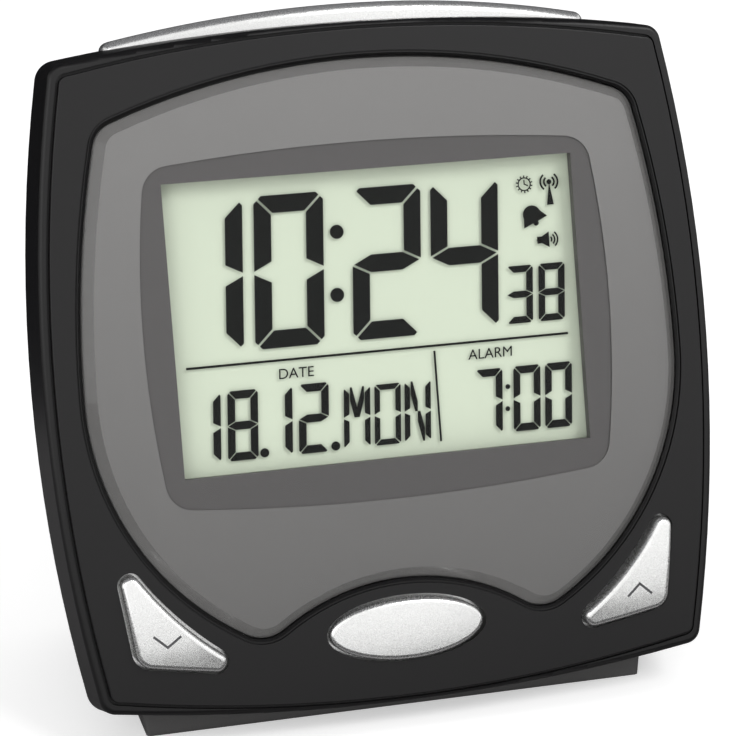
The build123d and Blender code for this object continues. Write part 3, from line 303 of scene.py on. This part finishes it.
def drawMastSign():
    values = signs["mast"]
    tall, half = values["tall"], values["foot"] / 2
    mast = newPlate("mast", values["foot"], tall, (0, -tall / 2))
    for way in (-1, 1):
        trim(mast, (0, 0), (way * tall, half))
    knob = newDisc("knob", values["knob"])
    drawn = [placeCopy(mast, atFace(*values["at"])), placeCopy(knob, atFace(*values["at"]))]
    for radius in values["arcs"]:
        for turn in values["turns"]:
            drawn.append(drawArc(values["at"], radius, values["line"], turn, values["spread"]))
    discard(mast, knob)
    return drawn


# The skirt of the bell is a plate whose lower corners are spread
def drawBellSign():
    values = signs["bell"]
    dome = newDisc("dome", values["radius"])
    trim(dome, (0, 0), (0, -1))
    skirt = newPlate("skirt", 2 * values["radius"], values["drop"], (0, -values["drop"] / 2))
    bpy.ops.object.mode_set(mode="EDIT")
    bpy.ops.mesh.select_mode(type="VERT")
    bpy.ops.mesh.select_all(action="DESELECT")
    bpy.ops.object.mode_set(mode="OBJECT")
    for corner in skirt.data.vertices:
        corner.select = corner.co.y < -values["drop"] / 2
    bpy.ops.object.mode_set(mode="EDIT")
    bpy.ops.transform.resize(value=(values["skirt"], 1, 1))
    bpy.ops.object.mode_set(mode="OBJECT")
    clapper = newDisc("clapper", values["clapper"])
    bpy.ops.object.mode_set(mode="EDIT")
    bpy.ops.mesh.select_all(action="SELECT")
    bpy.ops.transform.translate(value=(0, -values["hang"], 0))
    bpy.ops.object.mode_set(mode="OBJECT")
    place = atFace(*values["at"], turn=values["turn"])
    drawn = [placeCopy(part, place) for part in (dome, skirt, clapper)]
    discard(dome, skirt, clapper)
    return drawn


# A three-sided disc is the horn, with its tip in the box
def drawSounderSign():
    values = signs["sounder"]
    u, v = values["at"]
    box = newPlate("box", *values["box"], (values["boxAt"], 0))
    horn = newDisc("horn", values["horn"], "horn")
    drawn = [placeCopy(box, atFace(u, v)), placeCopy(horn, atFace(u, v, turn=values["hornTurn"]))]
    for radius in values["arcs"]:
        at = (u + values["arcsAt"], v)
        drawn.append(drawArc(at, radius, values["line"], 0, values["spread"]))
    discard(box, horn)
    return drawn


def drawDisplay():
    drawn = []
    for row in display["rows"]:
        drawn += drawRow(row)
    for u, v, radius in display["dots"]:
        dot = newDisc("dot", radius, "dot")
        drawn.append(placeCopy(dot, atFace(u, v)))
        discard(dot)
    for u, v, width, height in display["rules"]:
        rule = newPlate("rule", width, height)
        drawn.append(placeCopy(rule, atFace(u, v)))
        discard(rule)
    for body, left, low, size in display["words"]:
        drawn.append(drawWord(body, left, low, size))
    drawn += drawClockSign() + drawMastSign() + drawBellSign() + drawSounderSign()
    figures = joinAll("display_figures", drawn)
    thicken(figures, display["thick"])
    return figures


figures = drawDisplay()
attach(figures, "case")
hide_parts("lcd_front_glass")
print("display drawn,", len(figures.data.polygons), "faces")

# Chevrons on the two corner keys, laid over the crown of each key: grey sheets of painted shade standing
# for a groove
chevron = {"line": 0.34, "lift": 0.00001, "thick": 0.00003, "start": 1.7, "cuts": 6}
chevronPlaces = {
    "down_key": ((-36.69, -34.68), (-34.93, -36.27), (-33.09, -34.97)),
    "up_key": ((32.98, -36.75), (34.75, -35.15), (36.47, -36.7)),
}


def drawChevron(key, spots):
    strokes = []
    for start, end in ((spots[0], spots[1]), (spots[2], spots[1])):
        run = Vector(end) - Vector(start)
        stroke = newPlate("stroke", run.length + chevron["line"], chevron["line"])
        bpy.ops.object.mode_set(mode="EDIT")
        bpy.ops.mesh.select_all(action="SELECT")
        bpy.ops.mesh.subdivide(number_cuts=chevron["cuts"])
        bpy.ops.object.mode_set(mode="OBJECT")
        middle = (Vector(start) + Vector(end)) / 2
        turned = Matrix.Rotation(-Vector((1, 0)).angle_signed(run), 4, "Z")
        place = Matrix.Translation((middle.x, middle.y, chevron["start"]))
        stroke.data.transform(faceMatrix @ place @ turned)
        strokes.append(stroke)
    mark = joinAll(key + "_mark", strokes)
    applyModifier(
        mark, "SHRINKWRAP", target=nodes[key], wrap_method="NEAREST_SURFACEPOINT",
        wrap_mode="ABOVE_SURFACE", offset=chevron["lift"],
    )
    thicken(mark, chevron["thick"])
    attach(mark, key)
    return mark


marks = [drawChevron(key, spots) for key, spots in chevronPlaces.items()]
print("key marks drawn")


# A colour from its sRGB values, by the sRGB curve
def tone(red, green, blue):
    def straight(value):
        value = value / 255
        return value / 12.92 if value <= 0.04045 else ((value + 0.055) / 1.055) ** 2.4
    return (straight(red), straight(green), straight(blue), 1)


white = (1, 1, 1, 1)


# Inputs of a node, by name or number: a socket is linked and a value is set
def feed(tree, node, inputs):
    for key, value in inputs.items():
        if isinstance(value, bpy.types.NodeSocket):
            tree.links.new(value, node.inputs[key])
        else:
            node.inputs[key].default_value = value


def addNode(tree, kind, inputs=None, **settings):
    node = tree.nodes.new(kind)
    for key, value in settings.items():
        setattr(node, key, value)
    feed(tree, node, inputs or {})
    return node


def addMath(tree, operation, *inputs):
    return addNode(tree, "ShaderNodeMath", dict(enumerate(inputs)), operation=operation).outputs[0]


def addDot(tree, vector, way):
    node = addNode(tree, "ShaderNodeVectorMath", {0: vector, 1: way}, operation="DOT_PRODUCT")
    return node.outputs["Value"]


def addRange(tree, inputs):
    return addNode(tree, "ShaderNodeMapRange", inputs).outputs["Result"]


# A colour times a shade: a mix node has its two colours at 6 and 7 and gives the result at 2
def addShade(tree, color, shade):
    inputs = {0: 1, 6: color, 7: shade}
    return addNode(tree, "ShaderNodeMix", inputs, data_type="RGBA", blend_type="MULTIPLY").outputs[2]


kinds = {"vector": "NodeSocketVector", "color": "NodeSocketColor", "value": "NodeSocketFloat"}


def newGroup(name, takes, gives):
    group = bpy.data.node_groups.new(name, "ShaderNodeTree")
    for way, sockets in (("INPUT", takes), ("OUTPUT", gives)):
        for socket, kind in sockets.items():
            group.interface.new_socket(name=socket, in_out=way, socket_type=kinds[kind])
    get, put = group.nodes.new("NodeGroupInput"), group.nodes.new("NodeGroupOutput")
    return group, get.outputs, put


# Shared effect: fine moulded grain over slow changes of shade
grainValues = {"detail": 3, "slowScale": 45, "slowShare": 0.5, "low": 0.45, "high": 1.05}


def grainGroup():
    group, get, put = newGroup(
        "mouldedGrain",
        {"Vector": "vector", "Color": "color", "Shade": "value", "Scale": "value", "Roughness": "value"},
        {"Color": "color", "Roughness": "value", "Height": "value"},
    )
    inputs = {"Vector": get["Vector"], "Scale": get["Scale"], "Detail": grainValues["detail"]}
    fine = addNode(group, "ShaderNodeTexNoise", inputs).outputs["Fac"]
    inputs = {"Vector": get["Vector"], "Scale": grainValues["slowScale"]}
    slow = addNode(group, "ShaderNodeTexNoise", inputs).outputs["Fac"]
    spread = addRange(group, {
        "Value": addMath(group, "MULTIPLY_ADD", slow, grainValues["slowShare"], fine),
        "From Min": grainValues["low"],
        "From Max": grainValues["high"],
        "To Min": addMath(group, "SUBTRACT", 1, get["Shade"]),
        "To Max": addMath(group, "ADD", 1, get["Shade"]),
    })
    feed(group, put, {
        "Color": addShade(group, get["Color"], spread),
        "Roughness": addMath(group, "MULTIPLY", get["Roughness"], spread),
        "Height": fine,
    })
    return group


# Shared effect: tiny bright flakes in a silver paint
def flakeGroup():
    group, get, put = newGroup(
        "silverFlakes",
        {
            "Vector": "vector", "Color": "color", "Scale": "value", "Dark": "value",
            "Smooth": "value", "Rough": "value",
        },
        {"Color": "color", "Roughness": "value", "Height": "value"},
    )
    cells = addNode(group, "ShaderNodeTexVoronoi", {"Vector": get["Vector"], "Scale": get["Scale"]})
    split = addNode(group, "ShaderNodeSeparateColor", {"Color": cells.outputs["Color"]}).outputs
    spread = addRange(group, {"Value": split["Red"], "To Min": get["Dark"], "To Max": 1})
    rough = addRange(group, {"Value": split["Green"], "To Min": get["Smooth"], "To Max": get["Rough"]})
    color = addShade(group, get["Color"], spread)
    feed(group, put, {"Color": color, "Roughness": rough, "Height": split["Blue"]})
    return group


grain = grainGroup()
flakes = flakeGroup()


def startMaterial(name):
    material = bpy.data.materials.new(name)
    material.use_nodes = True
    tree = material.node_tree
    return material, tree, tree.nodes["Principled BSDF"]


# What lies in the plane of the leaning face shades by its true faces, and round parts stay smooth
def addFlatNormal(tree):
    geometry = addNode(tree, "ShaderNodeNewGeometry").outputs
    turned = addDot(tree, geometry["True Normal"], faceOut)
    inPlane = addMath(tree, "GREATER_THAN", turned, faceFrame["inPlane"])
    inputs = {0: inPlane, 4: geometry["Normal"], 5: geometry["True Normal"]}
    return addNode(tree, "ShaderNodeMix", inputs, data_type="VECTOR").outputs[1]


def addBump(tree, height, values):
    inputs = {"Strength": values["bump"], "Distance": values["deep"], "Height": height}
    if values["flat"]:
        inputs["Normal"] = addFlatNormal(tree)
    return addNode(tree, "ShaderNodeBump", inputs).outputs["Normal"]


# Painted shade: a colour that falls off slowly from the top of a sheet to its foot, up the leaning face,
# standing in for light that is weaker lower down
def addPaintedShade(tree, place, color, paintedShade):
    low, high = paintedShade["from"]
    up = addDot(tree, place, faceUp)
    spread = addRange(tree, {"Value": up, "From Min": low, "From Max": high, "To Min": paintedShade["foot"]})
    return addShade(tree, color, spread)


# Plain finish: a colour with grain. These values hold where a finish has none of its own
plainValues = {
    "shade": 0.06, "scale": 4000, "rough": 0.5, "metal": 0, "gloss": 0.5, "bump": 0.2,
    "deep": 0.00004, "flat": False,
}


def grainFinish(name, own):
    values = {**plainValues, **own}
    material, tree, shader = startMaterial(name)
    place = addNode(tree, "ShaderNodeTexCoord").outputs["Object"]
    inputs = {
        "Vector": place, "Color": tone(*values["color"]), "Shade": values["shade"],
        "Scale": values["scale"], "Roughness": values["rough"],
    }
    effect = addNode(tree, "ShaderNodeGroup", inputs, node_tree=grain).outputs
    color = effect["Color"]
    # Painted shade, darker towards the foot, where a finish asks for it
    if "paintedShade" in values:
        color = addPaintedShade(tree, place, color, values["paintedShade"])
    feed(tree, shader, {
        "Base Color": color, "Roughness": effect["Roughness"], "Metallic": values["metal"],
        "Specular IOR Level": values["gloss"],
    })
    if values["bump"]:
        feed(tree, shader, {"Normal": addBump(tree, effect["Height"], values)})
    return material


# Silver paint: a coat over flakes. These values are the same on every silver piece
flakeValues = {
    "scale": 14000, "dark": 0.86, "metal": 0.92, "coatRough": 0.08, "deep": 0.00003, "flat": False,
}


def flakeFinish(name, own):
    values = {**flakeValues, **own}
    material, tree, shader = startMaterial(name)
    place = addNode(tree, "ShaderNodeTexCoord").outputs["Object"]
    inputs = {
        "Vector": place, "Color": tone(*values["color"]), "Scale": values["scale"],
        "Dark": values["dark"], "Smooth": values["smooth"], "Rough": values["rough"],
    }
    effect = addNode(tree, "ShaderNodeGroup", inputs, node_tree=flakes).outputs
    feed(tree, shader, {
        "Base Color": effect["Color"], "Roughness": effect["Roughness"], "Metallic": values["metal"],
        "Coat Weight": values["coat"], "Coat Roughness": values["coatRough"],
        "Normal": addBump(tree, effect["Height"], values),
    })
    return material


# Clear lens: only its reflections show, and its bevelled edge has a painted grey reflection standing in
# for the print and surroundings seen through the clear bevel
lens = {
    "bevelPaintedTone": (98, 97, 96), "edgeAlpha": 0.7, "flatFrom": 0.93, "rough": 0.03, "hazeScale": 180,
    "haze": 2.5, "mirror": 0.009, "steep": 5, "alpha": 0.18,
}


def lensFinish():
    material, tree, shader = startMaterial("clearLens")
    geometry = addNode(tree, "ShaderNodeNewGeometry").outputs
    turned = addDot(tree, geometry["True Normal"], faceOut)
    either = addMath(tree, "ABSOLUTE", turned)  # front and back of the lens alike
    flat = addMath(tree, "GREATER_THAN", either, lens["flatFrom"])
    place = addNode(tree, "ShaderNodeTexCoord").outputs["Object"]
    inputs = {"Vector": place, "Scale": lens["hazeScale"]}
    haze = addNode(tree, "ShaderNodeTexNoise", inputs).outputs["Fac"]
    hazy = lens["rough"] * lens["haze"]
    # The bevel's grey tone and cover are a painted reflection
    inputs = {0: flat, 6: tone(*lens["bevelPaintedTone"]), 7: white}
    shade = addNode(tree, "ShaderNodeMix", inputs, data_type="RGBA").outputs[2]
    facing = addNode(tree, "ShaderNodeLayerWeight").outputs["Facing"]
    steep = addMath(tree, "POWER", facing, lens["steep"])
    mirror = addRange(tree, {"Value": steep, "To Min": lens["mirror"]})
    clear = addNode(tree, "ShaderNodeMix", {0: flat, 2: lens["edgeAlpha"], 3: mirror}).outputs[0]
    # The back of the lens lies on the film and adds nothing
    front = addNode(tree, "ShaderNodeMix", {0: geometry["Backfacing"], 2: clear, 3: 0}).outputs[0]
    shader.inputs["Alpha"].default_value = lens["alpha"]  # where the link can't be followed
    feed(tree, shader, {
        "Base Color": shade, "Metallic": flat,
        "Roughness": addRange(tree, {"Value": haze, "To Min": lens["rough"], "To Max": hazy}),
        "Normal": geometry["True Normal"],  # the flats stay flat
        "Alpha": front,
    })
    return material


def dress(material, *names):
    for name in names:
        slots = nodes[name].data.materials
        slots.clear()
        slots.append(material)


# Finishes that show from outside
dress(lensFinish(), "display_lens")
charcoal = {
    "color": (12, 11, 12), "shade": 0.08, "scale": 5200, "rough": 0.4, "bump": 0.16, "gloss": 0.37,
    "flat": True,
}
dress(grainFinish("charcoalFrame", charcoal), "front_frame")
housing = {"color": (30, 30, 31), "shade": 0.1, "scale": 2600, "rough": 0.56, "bump": 0.5}
dress(grainFinish("charcoalHousing", housing), "rear_housing")
# The foot's grey is lighter than the charcoal case: painted light that makes up for the shade under the
# frame's overhang
foot = {"color": (70, 69, 69), "shade": 0.08, "scale": 4200, "rough": 0.5, "bump": 0.3}
dress(grainFinish("charcoalFootPaintedLight", foot), "base_foot")
door = {"color": (31, 31, 32), "shade": 0.1, "scale": 2900, "rough": 0.54, "bump": 0.45}
dress(grainFinish("charcoalDoor", door), "battery_door")
# The grey panel carries painted shade, darker towards its foot
panel = {
    "color": (124, 123, 122), "shade": 0.02, "scale": 2600, "rough": 0.4, "metal": 0.4, "bump": 0.03,
    "flat": True, "paintedShade": {"from": reachAlong("face_panel", faceUp), "foot": 0.66},
}
dress(grainFinish("greyPanel", panel), "face_panel")
holder = {"color": (74, 72, 72), "shade": 0.02, "scale": 2600, "rough": 0.5, "bump": 0.03, "flat": True}
dress(grainFinish("darkHolder", holder), "lcd_holder")
plate = {
    "color": (203, 213, 193), "shade": 0.012, "scale": 7000, "rough": 0.6, "gloss": 0.2, "bump": 0.04,
    "flat": True,
}
dress(grainFinish("displayPlate", plate), "lcd_rear_glass")
silver = {"color": (250, 250, 249), "smooth": 0.16, "rough": 0.3, "bump": 0.2, "coat": 0.15}
dress(flakeFinish("silverKey", silver), "down_key", "up_key", "alarm_set_key")
bar = {"color": (242, 242, 241), "smooth": 0.2, "rough": 0.36, "bump": 0.08, "coat": 0.1}
dress(flakeFinish("silverBar", bar), "talk_bar")
rearKey = {"color": (46, 46, 48), "shade": 0.06, "scale": 5200, "rough": 0.4, "bump": 0.15}
dress(grainFinish("rearKey", rearKey), "time_key", "signal_key", "alarm_slider")
screw = {"color": (150, 150, 154), "shade": 0.16, "scale": 6500, "rough": 0.34, "metal": 1, "bump": 0.15}
dress(
    grainFinish("screwSteel", screw),
    "foot_screws", "case_screws", "board_screws", "speaker_screws", "control_screws",
)
cone = {"color": (30, 29, 28), "shade": 0.25, "scale": 1800, "rough": 0.85, "bump": 0.5}
dress(grainFinish("conePaper", cone), "speaker_cone")
ink = {"color": (12, 14, 12), "shade": 0.05, "scale": 5000, "rough": 0.5, "gloss": 0.1, "bump": 0}
figures.data.materials.clear()
figures.data.materials.append(grainFinish("displayInk", ink))
# Painted shade of a groove, in grey, on the chevron sheets
grooveShade = {"color": (70, 70, 72), "shade": 0.1, "scale": 7000, "rough": 0.6, "bump": 0}
grooveShadeFinish = grainFinish("markGroovePaintedShade", grooveShade)
for mark in marks:
    mark.data.materials.clear()
    mark.data.materials.append(grooveShadeFinish)
print("outer finishes set")

# Finishes inside the case
inside = {
    "reflectorSheet": (
        {"color": (190, 196, 190), "shade": 0.04, "rough": 0.3, "metal": 0.5}, ["lcd_reflector"]
    ),
    "lightGuide": ({"color": (226, 232, 230), "shade": 0.03, "rough": 0.2}, ["light_guide"]),
    "lampBody": ({"color": (236, 232, 200), "shade": 0.08, "rough": 0.35}, ["backlight_leds"]),
    "contactRubber": (
        {"color": (92, 86, 84), "shade": 0.3, "scale": 9000, "rough": 0.7}, ["zebra_strips"]
    ),
    "boardGreen": (
        {"color": (30, 92, 54), "shade": 0.22, "scale": 900, "rough": 0.42},
        ["main_board", "control_board"],
    ),
    "chipBlack": ({"color": (20, 20, 22), "shade": 0.12, "scale": 2000, "rough": 0.3}, ["chip_blobs"]),
    "tinnedMetal": (
        {"color": (186, 188, 192), "shade": 0.1, "scale": 3000, "rough": 0.3, "metal": 1},
        ["quartz_crystal"],
    ),
    "switchBlack": (
        {"color": (28, 28, 30), "shade": 0.1, "rough": 0.5},
        ["front_switch_cans", "talk_switch_cans", "control_switch_cans"],
    ),
    "switchMetal": (
        {"color": (176, 178, 182), "shade": 0.1, "rough": 0.35, "metal": 1}, ["slide_switch_can"]
    ),
    "plungerWhite": (
        {"color": (226, 224, 216), "shade": 0.05, "rough": 0.45},
        [
            "down_plunger", "alarm_set_plunger", "up_plunger", "talk_plungers", "time_plunger",
            "signal_plunger",
        ],
    ),
    "basketSteel": (
        {"color": (150, 150, 150), "shade": 0.1, "scale": 3000, "rough": 0.4, "metal": 1},
        ["speaker_basket"],
    ),
    "magnetDark": (
        {"color": (58, 56, 56), "shade": 0.15, "scale": 1500, "rough": 0.55}, ["speaker_magnet"]
    ),
    "ringPlastic": ({"color": (44, 44, 46), "shade": 0.08, "rough": 0.5}, ["speaker_ring"]),
    "cellWrap": ({"color": (60, 96, 132), "shade": 0.08, "scale": 1200, "rough": 0.3}, ["battery_cells"]),
    "contactMetal": (
        {"color": (190, 188, 180), "shade": 0.1, "scale": 2400, "rough": 0.3, "metal": 1},
        ["battery_bridge", "battery_terminals"],
    ),
    "ferriteDark": ({"color": (52, 50, 50), "shade": 0.2, "scale": 1400, "rough": 0.6}, ["ferrite_rod"]),
    "coilCopper": (
        {"color": (184, 112, 66), "shade": 0.25, "scale": 2600, "rough": 0.35, "metal": 0.9},
        ["antenna_coil"],
    ),
}
for name, (values, names) in inside.items():
    dress(grainFinish(name, values), *names)
print("inner finishes set")


# One where the camera sees a thing directly, in a reflection or through glass
def addSeen(tree):
    path = addNode(tree, "ShaderNodeLightPath").outputs
    seen = addMath(tree, "MAXIMUM", path["Is Camera Ray"], path["Is Glossy Ray"])
    return addMath(tree, "MAXIMUM", seen, path["Is Transmission Ray"])


# Pale floor, white to the camera, with the object's shadow
floorValues = {"size": 8.0, "color": (236, 236, 236), "rough": 0.9, "glow": 0.45}


def addFloor():
    bpy.ops.object.select_all(action="DESELECT")
    bpy.ops.mesh.primitive_plane_add(size=floorValues["size"], location=(0, 0, 0))
    floor = bpy.context.active_object
    floor.name = "floor"
    material, tree, shader = startMaterial("paleFloor")
    feed(tree, shader, {
        "Base Color": tone(*floorValues["color"]), "Roughness": floorValues["rough"],
        "Specular IOR Level": 0, "Emission Color": white,
        "Emission Strength": addMath(tree, "MULTIPLY", addSeen(tree), floorValues["glow"]),
    })
    floor.data.materials.append(material)


addFloor()

# Grey cloths that only reflections see: on the table, overhead and behind the clock
flags = {
    "frontFlag": {"size": (3.6, 0.21), "at": (0, -0.14, 0.0004), "color": (46, 46, 47)},
    "nearFlag": {"size": (3.6, 0.145), "at": (0, 0.0375, 0.0004), "color": (150, 149, 150)},
    "backFlag": {"size": (3.6, 3.6), "at": (0, 1.91, 0.0004), "color": (40, 41, 44)},
    "ceilingFlag": {"size": (2.4, 2.4), "at": (0, 0.75, 0.75), "color": (112, 112, 116)},
    "wallFlag": {"size": (3.6, 0.42), "at": (0, 0.6, 0.21), "color": (34, 34, 36), "tilt": 90},
}


def addFlags():
    for name, values in flags.items():
        cloth = newPlate(name, *values["size"])
        tilted = Matrix.Rotation(radians(values.get("tilt", 0)), 4, "X")
        cloth.data.transform(Matrix.Translation(values["at"]) @ tilted)
        material, tree, shader = startMaterial(name)
        feed(tree, shader, {"Base Color": tone(*values["color"]), "Roughness": 1, "Specular IOR Level": 0})
        cloth.data.materials.append(material)
        cloth.visible_camera = False
        cloth.visible_diffuse = False
        cloth.visible_shadow = False


addFlags()

# Studio light: white surroundings, brighter where they are seen, and soft lamps
surroundings = {"soft": 0.5, "white": 1.0}


def addWorld():
    world = bpy.data.worlds.new("studio")
    bpy.context.scene.world = world
    world.use_nodes = True
    tree = world.node_tree
    soft = tree.nodes["Background"]
    feed(tree, soft, {"Color": white, "Strength": surroundings["soft"]})
    bright = addNode(tree, "ShaderNodeBackground", {"Color": white, "Strength": surroundings["white"]})
    inputs = {0: addSeen(tree), 1: soft.outputs[0], 2: bright.outputs[0]}
    mix = addNode(tree, "ShaderNodeMixShader", inputs)
    feed(tree, tree.nodes["World Output"], {"Surface": mix.outputs[0]})


addWorld()
lampAim = (0, 0, 0.045)
lamps = {
    "keyLamp": {"at": (0.55, -0.75, 0.95), "size": 0.5, "power": 6.0},
    "fillLamp": {"at": (-0.9, -0.7, 0.5), "size": 0.7, "power": 2.0},
    "topLamp": {"at": (0.0, 0.2, 1.2), "size": 0.8, "power": 2.0},
    "frontLamp": {"at": (-0.5, -1.1, 0.45), "size": 0.9, "power": 4.5, "mirrored": False},
}


def addLamps():
    for name, values in lamps.items():
        bpy.ops.object.select_all(action="DESELECT")
        bpy.ops.object.light_add(type="AREA", location=values["at"])
        lamp = bpy.context.active_object
        lamp.name = name
        lamp.data.energy = values["power"]
        lamp.data.size = values["size"]
        lamp.visible_glossy = values.get("mirrored", True)
        aim = Vector(lampAim) - Vector(values["at"])
        lamp.rotation_euler = aim.to_track_quat("-Z", "Y").to_euler()


addLamps()
print("light set")

# Camera at the photograph's viewpoint
viewpoint = {
    "at": (-0.094744, -0.366888, 0.175584), "turn": (71.0076, 0.5941, -14.8993), "lens": 132.445,
    "sensor": 36.0, "near": 0.01,
}


def addCamera():
    bpy.ops.object.select_all(action="DESELECT")
    bpy.ops.object.camera_add(
        location=viewpoint["at"], rotation=[radians(angle) for angle in viewpoint["turn"]]
    )
    camera = bpy.context.active_object
    camera.data.lens = viewpoint["lens"]
    camera.data.sensor_width = viewpoint["sensor"]
    camera.data.dof.use_dof = False
    camera.data.clip_start = viewpoint["near"]
    bpy.context.scene.camera = camera


addCamera()
bpy.context.scene.view_settings.view_transform = "Standard"

print("scene built")
